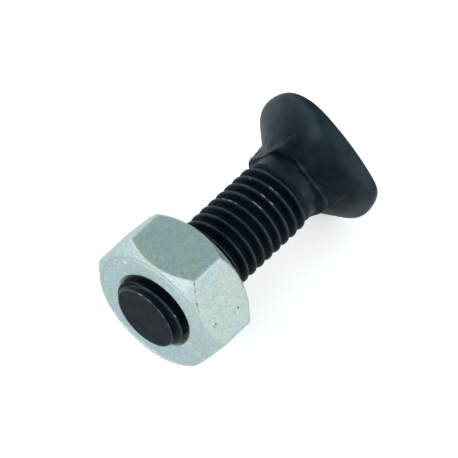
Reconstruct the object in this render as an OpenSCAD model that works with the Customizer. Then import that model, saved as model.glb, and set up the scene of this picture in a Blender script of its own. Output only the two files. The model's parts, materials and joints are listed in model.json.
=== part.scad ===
// Plough bolt with its hexagon nut, in millimetres.
// Bolt and nut are drawn upright round one axis: the face of the head is at z = 0 and the tip points
// to +Z. lying() then lays them down as they come to rest, tip towards +X: the rim of the head and
// the outer edge of one flat of the nut touch the surface z = 0.

/* [Head] */
// Diameter over the round part of the head
head_d = 18.3; // [17.6:0.1:19.5]
// Width of the head across its two flattened sides
head_narrow = 15; // [14:0.1:17.4]
// Included angle of the countersunk underside
head_angle = 90; // [80:1:100]
// Height of the rim, from the face of the head to where the rounding under it begins
rim_h = 0.4; // [0.35:0.05:1.2]
// Bevel round the edge of the head's face
face_bevel = 0.25; // [0.1:0.05:0.3]
// Radius that rounds the rim into the underside
under_round = 1; // [0.3:0.1:1.4]

/* [Neck] */
// Distance across the flats of the square neck
neck_af = 9.7; // [9.2:0.1:10.2]
// Diameter over the rounded corners of the neck, at its end
neck_corner_d = 11.8; // [11:0.1:12.6]
// Distance from the face of the head to the end of the neck
neck_end = 5.9; // [5.4:0.1:6.6]
// Growth of the corners' radius for each millimetre nearer to the head
corner_taper = 0.3; // [0.1:0.05:0.6]
// Length over which the end of the neck slopes down to the shank
neck_slope = 0.5; // [0.2:0.1:1]
// Turn of the neck's corners and the flattened sides away from the nut's flats, in degrees
neck_turn = 8; // [0:1:45]

/* [Thread] */
// Diameter over the crests of the thread
thread_d = 9.88; // [9.7:0.02:10]
// Diameter at the foot of the thread
foot_d = 8.2; // [8:0.05:8.6]
// Distance between neighbouring turns, and the length over which the thread runs out
thread_pitch = 1.5; // [1.25:0.05:1.75]
// Distance from the face of the head to a ridge straight below the axis, less whole turns
ridge_z = 1.02; // [0:0.02:1.5]
// Diameter of the plain shank between neck and thread
shank_d = 9.2; // [8.8:0.1:9.4]
// Distance from the face of the head to the first full turn
thread_start = 9.4; // [9:0.1:12]
// Length of the bolt, from the face of the head to the tip
bolt_len = 32.5; // [28:0.5:45]
// Diameter of the flat end at the tip
tip_d = 8.5; // [7.8:0.1:9]

/* [Nut] */
// Distance across the flats of the nut
nut_af = 17; // [16:0.1:17.4]
// Diameter over the blunted corners of the nut
nut_corner_d = 19.4; // [18.8:0.1:19.6]
// Height of the nut
nut_h = 7.9; // [6:0.1:9.5]
// Diameter of the circle that the chamfers leave on each face of the nut
nut_face_d = 16.2; // [15:0.1:17.2]
// Angle of the chamfers, measured from the face of the nut
nut_chamfer = 46; // [15:1:50]
// Diameter of the countersinks at the mouths of the bore
sink_d = 11.6; // [10.4:0.1:12.4]
// Angle of the countersinks, measured from the axis
sink_angle = 45; // [40:1:60]
// Length of thread that stands out of the nut
thread_proud = 1.4; // [0.5:0.1:6]
// Radial play between the bolt's thread and the nut
thread_play = 0.05; // [0.02:0.01:0.1]

/* [Hidden] */
FINE = 96;
TURN_STEPS = 16;
ARC_STEPS = 6;
FLANK_ANGLE = 30;
OVER = 1;
SLIVER = 0.1;

head_r = head_d / 2;
half_cone = head_angle / 2;
thread_r = thread_d / 2;
foot_r = foot_d / 2;
shank_r = shank_d / 2;
tip_r = tip_d / 2;
corner_r = neck_corner_d / 2;
bore_r = thread_r + thread_play;

// Where the underside of the round part meets the plain shank
cone_end_z = rim_h + under_round * sin(half_cone)
    + (head_r - under_round * (1 - cos(half_cone)) - shank_r) / tan(half_cone);
// The neck starts inside the head, where its corners are still within the cone
neck_root_z = rim_h + under_round;
neck_root_r = corner_r + (neck_end - neck_root_z) * corner_taper;

// The thread runs out towards the head over one turn
runout_z = thread_start - thread_pitch;
thread_turns = (bolt_len - runout_z) / thread_pitch;
// Half of the ridge's flat and one flank, as angles in a section square to the axis
ridge_turn = 360 / 16;
flank_turn = 360 * (thread_r - foot_r) * tan(FLANK_ANGLE) / thread_pitch;

// Faces of the nut along the axis
nut_outer_z = bolt_len - thread_proud;
nut_inner_z = nut_outer_z - nut_h;
// Middle of the nut's lower flat, at the end towards the tip, on which the nut rests
rest_z = nut_outer_z - max(0, nut_af / 2 - nut_face_d / 2) * tan(nut_chamfer);

// The head rests on its round part, or on the nearest end of a flattened side that faces down
side_span = acos(head_narrow / head_d);
rest_r = head_r * cos(max(0, side_span - (45 - neck_turn)));
// The axis leans by this angle, because the head reaches lower than the nut
lean = atan((rest_r - nut_af / 2) / (rest_z - rim_h));
// Height of the axis over the surface at the face of the head
axis_height = (rest_r + tan(lean) * rim_h) * cos(lean);

// Points of an arc round centre, from one angle to another
function arc(centre, r, from, to) =
    [for (i = [0:ARC_STEPS]) let (a = from + (to - from) * i / ARC_STEPS) centre + r * [cos(a), sin(a)]];

// Edge of the head at half its width: bevel, rim, rounding and the slope of the underside
function head_edge(half) =
    let (
        curve = arc([half - under_round, rim_h], under_round, 0, half_cone),
        start = curve[ARC_STEPS],
        slope_end = [start[0] - (cone_end_z - start[1]) * tan(half_cone), cone_end_z]
    )
    concat([[half, face_bevel]], curve, [slope_end]);

// Radius of the thread in a section square to the axis, at an angle from the middle of its ridge
function thread_radius(angle) =
    thread_r - (thread_r - foot_r) * max(0, min(1, (abs(angle) - ridge_turn) / flank_turn));

// Lays an upright piece down on the rim of the head and the flat of the nut
module lying() {
    face_edge = -(rest_r - face_bevel) * sin(lean);
    tip_edge = bolt_len * cos(lean) + tip_r * sin(lean);
    translate([-(face_edge + tip_edge) / 2, 0, axis_height])
        rotate([0, 90 + lean, 0])
            children();
}

// Removes what lies beyond half the narrow width on one side, and keeps the profile of the edge
module side_cut() {
    half = head_narrow / 2;
    rotate([90, 0, 0])
        linear_extrude(height = head_d, center = true)
            polygon(concat(
                [[head_r + OVER, -OVER], [half - face_bevel - OVER, -OVER]],
                head_edge(half),
                [[head_r + OVER, cone_end_z]]
            ));
}

// Round countersunk head with two flattened sides, parallel to flats of the neck
module head() {
    difference() {
        rotate_extrude($fn = FINE)
            polygon(concat([[0, 0], [head_r - face_bevel, 0]], head_edge(head_r), [[0, cone_end_z]]));
        for (turn = [135, 315])
            rotate([0, 0, neck_turn + turn])
                side_cut();
    }
}

// Square neck, whose rounded corners spread towards the head and whose end slopes to the shank
module neck() {
    intersection() {
        rotate([0, 0, 45 + neck_turn])
            translate([-neck_af / 2, -neck_af / 2, 0])
                cube([neck_af, neck_af, neck_end + OVER]);
        rotate_extrude($fn = FINE)
            polygon([
                [0, neck_root_z],
                [neck_root_r, neck_root_z],
                [corner_r, neck_end],
                [shank_r, neck_end + neck_slope],
                [0, neck_end + neck_slope]
            ]);
    }
}

// Plain shank, which tapers to a core inside the first turns of the thread
module shank() {
    rotate_extrude($fn = FINE)
        polygon([
            [0, rim_h],
            [shank_r, rim_h],
            [shank_r, runout_z],
            [foot_r - SLIVER, thread_start],
            [0, thread_start]
        ]);
}

// Right-handed thread: its section turns once for every pitch and is cut back at both ends
module thread() {
    intersection() {
        translate([0, 0, runout_z])
            rotate([0, 0, 360 * (runout_z - ridge_z) / thread_pitch])
                linear_extrude(
                    height = bolt_len - runout_z,
                    twist = -360 * thread_turns,
                    slices = ceil(TURN_STEPS * thread_turns)
                )
                    polygon([
                        for (i = [0:TURN_STEPS - 1])
                            let (a = 360 * i / TURN_STEPS - 180)
                            thread_radius(a) * [cos(a), sin(a)]
                    ]);
        rotate_extrude($fn = FINE)
            polygon([
                [0, runout_z],
                [shank_r - SLIVER, runout_z],
                [thread_r + SLIVER, thread_start],
                [thread_r + SLIVER, bolt_len - (thread_r + SLIVER - tip_r)],
                [tip_r, bolt_len],
                [0, bolt_len]
            ]);
    }
}

// Solid of revolution that blunts the corners of the hexagon and chamfers both faces
module nut_chamfers() {
    face_r = nut_face_d / 2;
    reach = nut_corner_d / 2;
    drop = (reach - face_r) * tan(nut_chamfer);
    rotate_extrude($fn = FINE)
        polygon([
            [0, nut_inner_z],
            [face_r, nut_inner_z],
            [reach, nut_inner_z + drop],
            [reach, nut_outer_z - drop],
            [face_r, nut_outer_z],
            [0, nut_outer_z]
        ]);
}

// Countersink whose mouth is at z = 0 and which narrows towards +Z
module countersink() {
    depth = (sink_d / 2 - bore_r) / tan(sink_angle);
    rotate_extrude($fn = FINE)
        polygon([
            [0, -OVER],
            [sink_d / 2 + OVER * tan(sink_angle), -OVER],
            [sink_d / 2, 0],
            [bore_r, depth],
            [0, depth]
        ]);
}

// Bolt: head, square neck, shank and thread are one forging
module bolt() {
    color([0.17, 0.19, 0.20])
        lying()
            union() {
                head();
                neck();
                shank();
                thread();
            }
}

// Hexagon nut, with one flat below and a bore that clears the crests of the thread
module nut() {
    color([0.72, 0.77, 0.76])
        lying()
            difference() {
                intersection() {
                    translate([0, 0, nut_inner_z])
                        rotate([0, 0, 30])
                            cylinder(h = nut_h, r = nut_af / sqrt(3), $fn = 6);
                    nut_chamfers();
                }
                translate([0, 0, nut_inner_z - OVER])
                    cylinder(h = nut_h + 2 * OVER, r = bore_r, $fn = FINE);
                translate([0, 0, nut_inner_z])
                    countersink();
                translate([0, 0, nut_outer_z])
                    mirror([0, 0, 1])
                        countersink();
            }
}

bolt();
nut();
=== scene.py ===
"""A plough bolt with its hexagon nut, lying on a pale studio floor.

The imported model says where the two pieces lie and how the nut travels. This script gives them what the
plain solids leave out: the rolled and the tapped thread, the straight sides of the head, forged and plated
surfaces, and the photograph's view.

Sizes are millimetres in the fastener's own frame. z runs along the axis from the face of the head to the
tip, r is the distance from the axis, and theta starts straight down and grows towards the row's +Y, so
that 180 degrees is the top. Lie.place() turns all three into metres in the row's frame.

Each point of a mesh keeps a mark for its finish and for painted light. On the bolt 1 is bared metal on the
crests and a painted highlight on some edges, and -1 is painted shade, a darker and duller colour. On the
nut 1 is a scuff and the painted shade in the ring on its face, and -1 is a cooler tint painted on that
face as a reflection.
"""
import json
import logging
import math
from collections.abc import Callable
from dataclasses import dataclass

import bmesh
import bpy
import numpy as np
from mathutils import Matrix, Vector


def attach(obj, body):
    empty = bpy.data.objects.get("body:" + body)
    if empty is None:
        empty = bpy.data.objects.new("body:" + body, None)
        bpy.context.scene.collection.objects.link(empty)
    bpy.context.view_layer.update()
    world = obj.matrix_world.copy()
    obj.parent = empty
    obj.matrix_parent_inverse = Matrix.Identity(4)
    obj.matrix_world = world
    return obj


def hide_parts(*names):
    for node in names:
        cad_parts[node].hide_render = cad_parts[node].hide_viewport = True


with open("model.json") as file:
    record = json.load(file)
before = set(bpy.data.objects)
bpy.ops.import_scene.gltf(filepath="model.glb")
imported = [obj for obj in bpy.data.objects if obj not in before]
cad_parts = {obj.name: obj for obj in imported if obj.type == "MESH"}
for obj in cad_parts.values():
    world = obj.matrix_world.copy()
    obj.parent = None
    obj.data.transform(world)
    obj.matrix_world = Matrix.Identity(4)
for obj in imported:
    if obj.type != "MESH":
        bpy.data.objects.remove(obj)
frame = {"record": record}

LOG = logging.getLogger("plough_bolt")
MM = 0.001
FULL_TURN = 2 * math.pi
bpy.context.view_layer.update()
# Name of the attribute that holds the marks
MARK = "relief"
# Points nearer than the first are merged and edges shorter than the second vanish, in millimetres
MERGE_GAP = 0.002
SHORTEST_EDGE = 0.0005
# Angle past which an edge stays sharp, in degrees
CREASE = 40
# The full range of a share
NONE_TO_ALL = (0, 1)

Array = np.ndarray
Socket = bpy.types.NodeSocket


def soft_min(a: Array, b: Array, blend: float) -> Array:
    """The smaller of two surfaces, with the crease between them rounded.

    Formula: h = 1/2 + (b - a) / (2 blend), held between 0 and 1; result = b + (a - b) h - blend h (1 - h).

    Args:
        a: first surface.
        b: second surface.
        blend: distance between the surfaces over which the crease is rounded.

    Returns:
        The blended surface.
    """
    h = np.clip(0.5 + 0.5 * (b - a) / blend, 0, 1)
    return b + (a - b) * h - blend * h * (1 - h)


def soft_max(a: Array, b: Array, blend: float) -> Array:
    """The larger of two surfaces, with the crease between them filled."""
    return -soft_min(-a, -b, blend)


def ease(low: float, high: float, value: Array) -> Array:
    """Rises smoothly from 0 at low to 1 at high, as 3t² - 2t³ of the share t of the way."""
    t = np.clip((value - low) / (high - low), 0, 1)
    return t * t * (3 - 2 * t)


def between(rise: tuple[float, float], fall: tuple[float, float], value: Array) -> Array:
    """Rises from 0 to 1 over the first range and falls to 0 over the second, both as ease() does."""
    return ease(*rise, value) * (1 - ease(*fall, value))


def hump(value: Array, middle: float, width: float) -> Array:
    """A bell that is 1 at its middle, as exp(-s²) of the distance s from there in widths."""
    return np.exp(-((value - middle) / width) ** 2)


@dataclass(frozen=True)
class Lie:
    """Where the fastener's axis lies in the row's frame, read from the record's own places.

    Attributes:
        origin: middle of the head's face, in metres.
        along: unit vector from the head to the tip.
        down: unit vector across the axis that points to the floor.
        side: unit vector along the row's +Y.
    """

    origin: Array
    along: Array
    down: Array
    side: Array

    @classmethod
    def from_record(cls, record: dict) -> "Lie":
        """Reads the axis from the mount on the head's face.

        Args:
            record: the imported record.

        Returns:
            The lie of the axis.
        """
        mount = next(m for m in record["mounts"] if m["name"] == "head_face")
        along = -np.array(mount["axis"], float)
        side = np.array([0.0, 1.0, 0.0])
        return cls(np.array(mount["pos_m"], float), along, np.cross(side, along), side)

    def place(self, radius: Array, theta: Array, z: Array) -> Array:
        """Turns cylinder coordinates into points of the row's frame.

        Formula: origin + z along + r cos(theta) down + r sin(theta) side.

        Args:
            radius: distances from the axis, in millimetres.
            theta: angles from straight down, in radians.
            z: distances from the face of the head, in millimetres.

        Returns:
            Points in metres, with the shape of the input and a last axis of three.
        """
        radius, theta, z = np.broadcast_arrays(radius, theta, z)
        downward = (radius * np.cos(theta))[..., None] * self.down
        sideward = (radius * np.sin(theta))[..., None] * self.side
        return self.origin + MM * (z[..., None] * self.along + (downward + sideward))


@dataclass(frozen=True)
class Helix:
    """A 60 degree thread, as a radius over z and theta.

    Attributes:
        pitch: travel in one turn.
        phase: z of a crest of the bolt's thread straight below the axis.
        high: radius of the ridge of the bolt's thread, or of the groove that takes it.
        low: radius at the foot of the bolt's thread, or of the ridge that fills it.
        land: half the width of the flat at the radius high.
        flank_angle: slope of the flanks from square to the axis, in degrees.
        round_high: share of the depth over which a flank rounds into the radius high.
        round_low: the same at the radius low.
        land_line: place of a line of the grid on the flat, as a share of its half width.
        past_land: distance of the next line past the flat, as a share of the pitch.
        flank_lines: places of two lines on the flank, as shares of its width.
        foot_lines: distances of two lines before and past the foot, as shares of the pitch.
        last_line: where the line past the foot is at most, as a share of the pitch.
    """

    pitch: float
    phase: float
    high: float
    low: float
    land: float
    flank_angle: float = 30.0
    round_high: float = 0.1
    round_low: float = 0.16
    land_line: float = 0.6
    past_land: float = 0.025
    flank_lines: tuple[float, float] = (0.3, 0.65)
    foot_lines: tuple[float, float] = (0.035, 0.03)
    last_line: float = 0.47

    def flank(self) -> float:
        """Width of one flank along z."""
        return (self.high - self.low) * math.tan(math.radians(self.flank_angle))

    def shares(self) -> Array:
        """Places of the grid's lines across one turn, set on the flats and the flanks.

        Formula: the lines from the middle of a ridge to the middle of the groove, then the same mirrored.

        Returns:
            Shares of the pitch, from 0 to less than 1.
        """
        edge = self.land / self.pitch
        foot = edge + self.flank() / self.pitch
        upper, lower = self.flank_lines
        before, past = self.foot_lines
        half = [self.land_line * edge, edge + self.past_land, edge + upper * (foot - edge),
                edge + lower * (foot - edge), foot - before, min(self.last_line, foot + past)]
        return np.array([0.0, *half, 0.5, *(1 - share for share in reversed(half))])

    def from_ridge(self, z: Array, theta: Array) -> Array:
        """Distance along z to the middle of the nearest ridge of the bolt's thread, in millimetres."""
        turn = (z - self.phase) / self.pitch - theta / FULL_TURN
        return np.abs(turn - np.round(turn)) * self.pitch

    def depth(self, z: Array, theta: Array) -> Array:
        """Share of the way from the radius high to the radius low.

        Formula: the distance from the ridge less the land, over the flank's width, held between 0 and 1 with
        both ends rounded.

        Args:
            z: distances from the face of the head.
            theta: angles from straight down.

        Returns:
            0 on the ridge, 1 at the foot.
        """
        share = (self.from_ridge(z, theta) - self.land) / self.flank()
        share = soft_min(share, np.ones_like(share), self.round_low)
        return soft_max(share, np.zeros_like(share), self.round_high)


class Skin:
    """The points and faces of one closed piece, gathered sheet by sheet.

    Every sheet is a grid over theta and a second parameter, so neighbours share their angles and close up
    when their meeting points are merged.
    """

    def __init__(self, lie: Lie, theta: Array) -> None:
        """Starts an empty skin.

        Args:
            lie: where the fastener lies.
            theta: the angles that all its sheets use.
        """
        self.lie = lie
        self.theta = theta
        self.points: list[Array] = []
        self.faces: list[Array] = []
        self.marks: list[Array] = []
        self.count = 0

    def _add(self, radius: Array, z: Array, mark: Array, wrap_rows: int) -> None:
        """Adds one grid of points and the faces between its lines.

        Args:
            radius: distances from the axis, one row for each line of the grid.
            z: distances from the face of the head, in the same shape.
            mark: a value kept at each point for the finish.
            wrap_rows: how many lines further the last angle meets the first.
        """
        rows, columns = z.shape
        index = self.count + np.arange(rows * columns).reshape(rows, columns)
        inner = np.stack([index[:-1, :-1], index[:-1, 1:], index[1:, 1:], index[1:, :-1]], -1).reshape(-1, 4)
        last, first = index[:rows - wrap_rows, -1], index[wrap_rows:, 0]
        seam = np.stack([last[:-1], first[:-1], first[1:], last[1:]], -1)
        self.points.append(self.lie.place(radius, self.theta[None, :], z).reshape(-1, 3))
        self.marks.append(np.broadcast_to(mark, z.shape).ravel())
        self.faces += [inner, seam]
        self.count += rows * columns

    def add_rings(self, radius: Array, z: Array, mark: Array | float = 0.0) -> None:
        """Adds a sheet whose lines run straight round the axis.

        Args:
            radius: rows of radii, one column for each angle.
            z: rows of distances from the face of the head.
            mark: value kept at its points for the finish, for all or for each.
        """
        radius, z = np.broadcast_arrays(radius, z)
        grid = (len(radius), len(self.theta))
        self._add(np.broadcast_to(radius, grid), np.broadcast_to(z, grid), np.broadcast_to(mark, grid), 0)

    def add_thread(self, helix: Helix, low: float, high: float,
                   shape: Callable[[Array, Array], tuple[Array, Array]]) -> None:
        """Adds a sheet whose lines climb with the thread, cut off level at both ends.

        Formula: line n at angle theta has z = phase + pitch (n + theta / full turn), held between low and
        high. Two spare turns at each end fall together there and vanish when the points are merged.

        Args:
            helix: the thread that the lines follow.
            low: z of the level end nearer to the head.
            high: z of the other end.
            shape: gives radii and marks for arrays of z and theta.
        """
        spare = 2
        shares = helix.shares()
        first = math.floor((low - helix.phase) / helix.pitch) - spare
        last = math.ceil((high - helix.phase) / helix.pitch) + spare
        level = (np.arange(first, last)[:, None] + shares[None, :]).ravel()
        z = helix.phase + helix.pitch * (level[:, None] + self.theta[None, :] / FULL_TURN)
        z = np.clip(z, low, high)
        radius, mark = shape(z, np.broadcast_to(self.theta, z.shape))
        self._add(radius, z, mark, len(shares))

    def close(self, name: str) -> bpy.types.Object:
        """Merges the sheets into one closed mesh with its faces outward.

        Args:
            name: name of the piece.

        Returns:
            The new object, at the origin, with its place in its mesh.
        """
        mesh = bpy.data.meshes.new(name)
        mesh.from_pydata(np.concatenate(self.points).tolist(), [], np.concatenate(self.faces).tolist())
        attribute = mesh.attributes.new(MARK, "FLOAT", "POINT")
        attribute.data.foreach_set("value", np.concatenate(self.marks).astype(np.float32))
        work = bmesh.new()
        work.from_mesh(mesh)
        bmesh.ops.remove_doubles(work, verts=work.verts, dist=MERGE_GAP * MM)
        bmesh.ops.dissolve_degenerate(work, edges=work.edges, dist=SHORTEST_EDGE * MM)
        bmesh.ops.recalc_face_normals(work, faces=work.faces)
        open_edges = sum(not edge.is_manifold for edge in work.edges)
        work.to_mesh(mesh)
        work.free()
        mesh.polygons.foreach_set("use_smooth", np.ones(len(mesh.polygons), bool))
        mesh.set_sharp_from_angle(angle=math.radians(CREASE))
        piece = bpy.data.objects.new(name, mesh)
        bpy.context.scene.collection.objects.link(piece)
        points, faces = len(mesh.vertices), len(mesh.polygons)
        LOG.info("%s: %d points, %d faces, %d open edges", name, points, faces, open_edges)
        return piece


def rounded_path(corners: list[tuple[Array, Array]], setbacks: tuple[float, ...], spans: tuple[int, ...],
                 arc_steps: int = 4) -> tuple[Array, Array]:
    """Follows a line of corners and rounds each inner one with a short curve.

    Formula: the curve at a corner P goes from A to C, points on its two sides at the setback, along
    (1-t)² A + 2t (1-t) P + t² C.

    Args:
        corners: radii and z of the corners, each an array over the angles.
        setbacks: how far from each inner corner its curve starts and ends.
        spans: how many steps each straight stretch gets.
        arc_steps: steps along each curve.

    Returns:
        Rows of radii and rows of z, from the first corner to the last.
    """
    path = np.stack([np.stack(np.broadcast_arrays(r, z)) for r, z in corners])
    step = np.diff(path, axis=0)
    length = np.linalg.norm(step, axis=1, keepdims=True)
    toward = step / length
    starts, ends = path[:-1].copy(), path[1:].copy()
    cut = np.array(setbacks)[:, None, None]
    starts[1:] += toward[1:] * cut
    ends[:-1] -= toward[:-1] * cut
    rows = [starts[0][None]]
    t = np.linspace(0, 1, arc_steps + 1)[1:, None, None]
    for i, span in enumerate(spans):
        share = np.linspace(0, 1, span + 1)[1:, None, None]
        rows.append(starts[i] + (ends[i] - starts[i]) * share)
        if i < len(spans) - 1:
            rows.append((1 - t) ** 2 * ends[i] + 2 * t * (1 - t) * path[i + 1] + t ** 2 * starts[i + 1])
    line = np.concatenate(rows)
    return line[:, 0], line[:, 1]


@dataclass(frozen=True)
class Speck:
    """A small ragged mark on a surface: a painted highlight, a dent or a fleck of dirt.

    Attributes:
        radius: distance of its middle from the axis, in millimetres.
        degrees: angle of its middle from straight down.
        z: distance of its middle from the face of the head, in millimetres.
        reach: distance from its middle at which it ends, in millimetres.
    """

    radius: float
    degrees: float
    z: float
    reach: float


@dataclass(frozen=True)
class Clouds:
    """Cloudy noise, whose values lie between about 0.3 and 0.7.

    Attributes:
        per_mm: lumps in a millimetre.
        detail: how many finer layers lie over them.
        span: the values that count as none and as all.
        rough: how strong the finer layers are.
    """

    per_mm: float
    detail: float
    span: tuple[float, float]
    rough: float = 0.55


class NodeBoard:
    """A material's node tree, with short calls for the nodes that the finishes share.

    Attributes:
        speck_noise: lumps in a millimetre of the noise that makes the specks ragged.
        speck_ragged: how far that noise moves their edges in all, in millimetres.
        speck_core: share of a speck's reach within which it shows fully.
    """

    speck_noise: float = 3.5
    speck_ragged: float = 0.25
    speck_core: float = 0.4

    def __init__(self, name: str) -> None:
        """Starts a material that holds one Principled shader and coordinates in millimetres.

        Args:
            name: name of the material.
        """
        self.material = bpy.data.materials.new(name)
        self.material.use_nodes = True
        self.tree = self.material.node_tree
        self.shader = self.tree.nodes["Principled BSDF"]
        coordinates = self.tree.nodes.new("ShaderNodeTexCoord")
        mapping = self.tree.nodes.new("ShaderNodeMapping")
        mapping.inputs["Scale"].default_value = (1 / MM, 1 / MM, 1 / MM)
        self.tree.links.new(coordinates.outputs["Object"], mapping.inputs["Vector"])
        self.millimetres = mapping.outputs["Vector"]

    def noise(self, clouds: Clouds) -> Socket:
        """Adds cloudy noise.

        Args:
            clouds: its lumps and layers.

        Returns:
            The noise as it comes, not yet spread over its span.
        """
        node = self.tree.nodes.new("ShaderNodeTexNoise")
        node.inputs["Scale"].default_value = clouds.per_mm
        node.inputs["Detail"].default_value = clouds.detail
        node.inputs["Roughness"].default_value = clouds.rough
        self.tree.links.new(self.millimetres, node.inputs["Vector"])
        return node.outputs["Fac"]

    def spread(self, value: Socket, source: tuple[float, float], target: tuple[float, float]) -> Socket:
        """Maps one range of a value onto another, held at both ends.

        Args:
            value: the value.
            source: the range that is used of it.
            target: what the ends of that range become.

        Returns:
            The mapped value.
        """
        node = self.tree.nodes.new("ShaderNodeMapRange")
        node.inputs["From Min"].default_value, node.inputs["From Max"].default_value = source
        node.inputs["To Min"].default_value, node.inputs["To Max"].default_value = target
        self.tree.links.new(value, node.inputs["Value"])
        return node.outputs["Result"]

    def marks(self) -> Socket:
        """The marks kept at the points of the mesh.

        Returns:
            The value of the attribute.
        """
        node = self.tree.nodes.new("ShaderNodeAttribute")
        node.attribute_name = MARK
        return node.outputs["Fac"]

    def join(self, operation: str, a: Socket, b: Socket) -> Socket:
        """Joins two values.

        Args:
            operation: MULTIPLY or MAXIMUM.
            a: first value.
            b: second value.

        Returns:
            The joined value.
        """
        node = self.tree.nodes.new("ShaderNodeMath")
        node.operation = operation
        self.tree.links.new(a, node.inputs[0])
        self.tree.links.new(b, node.inputs[1])
        return node.outputs["Value"]

    def specks(self, lie: Lie, specks: tuple[Speck, ...]) -> Socket:
        """A value that is 1 in the middle of each speck and 0 past its ragged edge.

        Formula: the distance from the speck's middle, measured from a point that noise moves by up to half
        of the raggedness each way, mapped from 1 at the core to 0 at the reach. The largest one counts.

        Args:
            lie: where the fastener lies.
            specks: the specks.

        Returns:
            The value.
        """
        noise = self.tree.nodes.new("ShaderNodeTexNoise")
        noise.inputs["Scale"].default_value = self.speck_noise
        shift = self.tree.nodes.new("ShaderNodeVectorMath")
        shift.operation = "MULTIPLY_ADD"
        shift.inputs[1].default_value = (self.speck_ragged,) * 3
        shift.inputs[2].default_value = (-self.speck_ragged / 2,) * 3
        moved = self.tree.nodes.new("ShaderNodeVectorMath")
        moved.operation = "ADD"
        self.tree.links.new(self.millimetres, noise.inputs["Vector"])
        self.tree.links.new(noise.outputs["Color"], shift.inputs[0])
        self.tree.links.new(shift.outputs["Vector"], moved.inputs[0])
        self.tree.links.new(self.millimetres, moved.inputs[1])
        result = None
        for speck in specks:
            gap = self.tree.nodes.new("ShaderNodeVectorMath")
            gap.operation = "DISTANCE"
            middle = lie.place(np.array(speck.radius), np.radians(speck.degrees), np.array(speck.z))
            gap.inputs[1].default_value = tuple(middle / MM)
            self.tree.links.new(moved.outputs["Vector"], gap.inputs[0])
            value = self.spread(gap.outputs["Value"], (self.speck_core * speck.reach, speck.reach), (1, 0))
            result = value if result is None else self.join("MAXIMUM", result, value)
        return result

    def ramp(self, value: Socket, span: tuple[float, float],
             stops: tuple[tuple[float, tuple], ...]) -> Socket:
        """A colour that changes with a value.

        Args:
            value: the value.
            span: the range of it over which the stops lie.
            stops: shares of that range and the colours there.

        Returns:
            The colour.
        """
        node = self.tree.nodes.new("ShaderNodeValToRGB")
        elements = node.color_ramp.elements
        while len(elements) < len(stops):
            elements.new(0.5)
        for element, (position, colour) in zip(elements, stops):
            element.position = position
            element.color = (*colour, 1)
        self.tree.links.new(self.spread(value, span, NONE_TO_ALL), node.inputs["Fac"])
        return node.outputs["Color"]

    def mix(self, share: Socket | float, a: Socket, b: Socket | tuple, blend: str = "MIX") -> Socket:
        """Mixes two colours.

        Args:
            share: how much of the second shows, plain or changing.
            a: first colour.
            b: second colour, plain or changing.
            blend: how the second goes over the first.

        Returns:
            The mixed colour.
        """
        node = self.tree.nodes.new("ShaderNodeMix")
        node.data_type = "RGBA"
        node.blend_type = blend
        if isinstance(share, Socket):
            self.tree.links.new(share, node.inputs["Factor"])
        else:
            node.inputs["Factor"].default_value = share
        self.tree.links.new(a, node.inputs["A"])
        if isinstance(b, tuple):
            node.inputs["B"].default_value = (*b, 1)
        else:
            self.tree.links.new(b, node.inputs["B"])
        return node.outputs["Result"]

    def bump(self, height: Socket, relief: tuple[float, float], over: Socket | None = None) -> Socket:
        """Tilts the surface as a fine relief would.

        Args:
            height: the relief's shape.
            relief: its height in millimetres, and how much of it shows.
            over: another relief that it lies over.

        Returns:
            The tilted normals.
        """
        node = self.tree.nodes.new("ShaderNodeBump")
        distance, strength = relief
        node.inputs["Distance"].default_value = distance * MM
        node.inputs["Strength"].default_value = strength
        self.tree.links.new(height, node.inputs["Height"])
        if over is not None:
            self.tree.links.new(over, node.inputs["Normal"])
        return node.outputs["Normal"]

    def set(self, socket: str, value: Socket | float | tuple) -> None:
        """Links a value to the shader, or writes a plain value on its own socket.

        Args:
            socket: name of the shader's socket.
            value: the value.
        """
        if isinstance(value, Socket):
            self.tree.links.new(value, self.shader.inputs[socket])
        else:
            self.shader.inputs[socket].default_value = value


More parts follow.
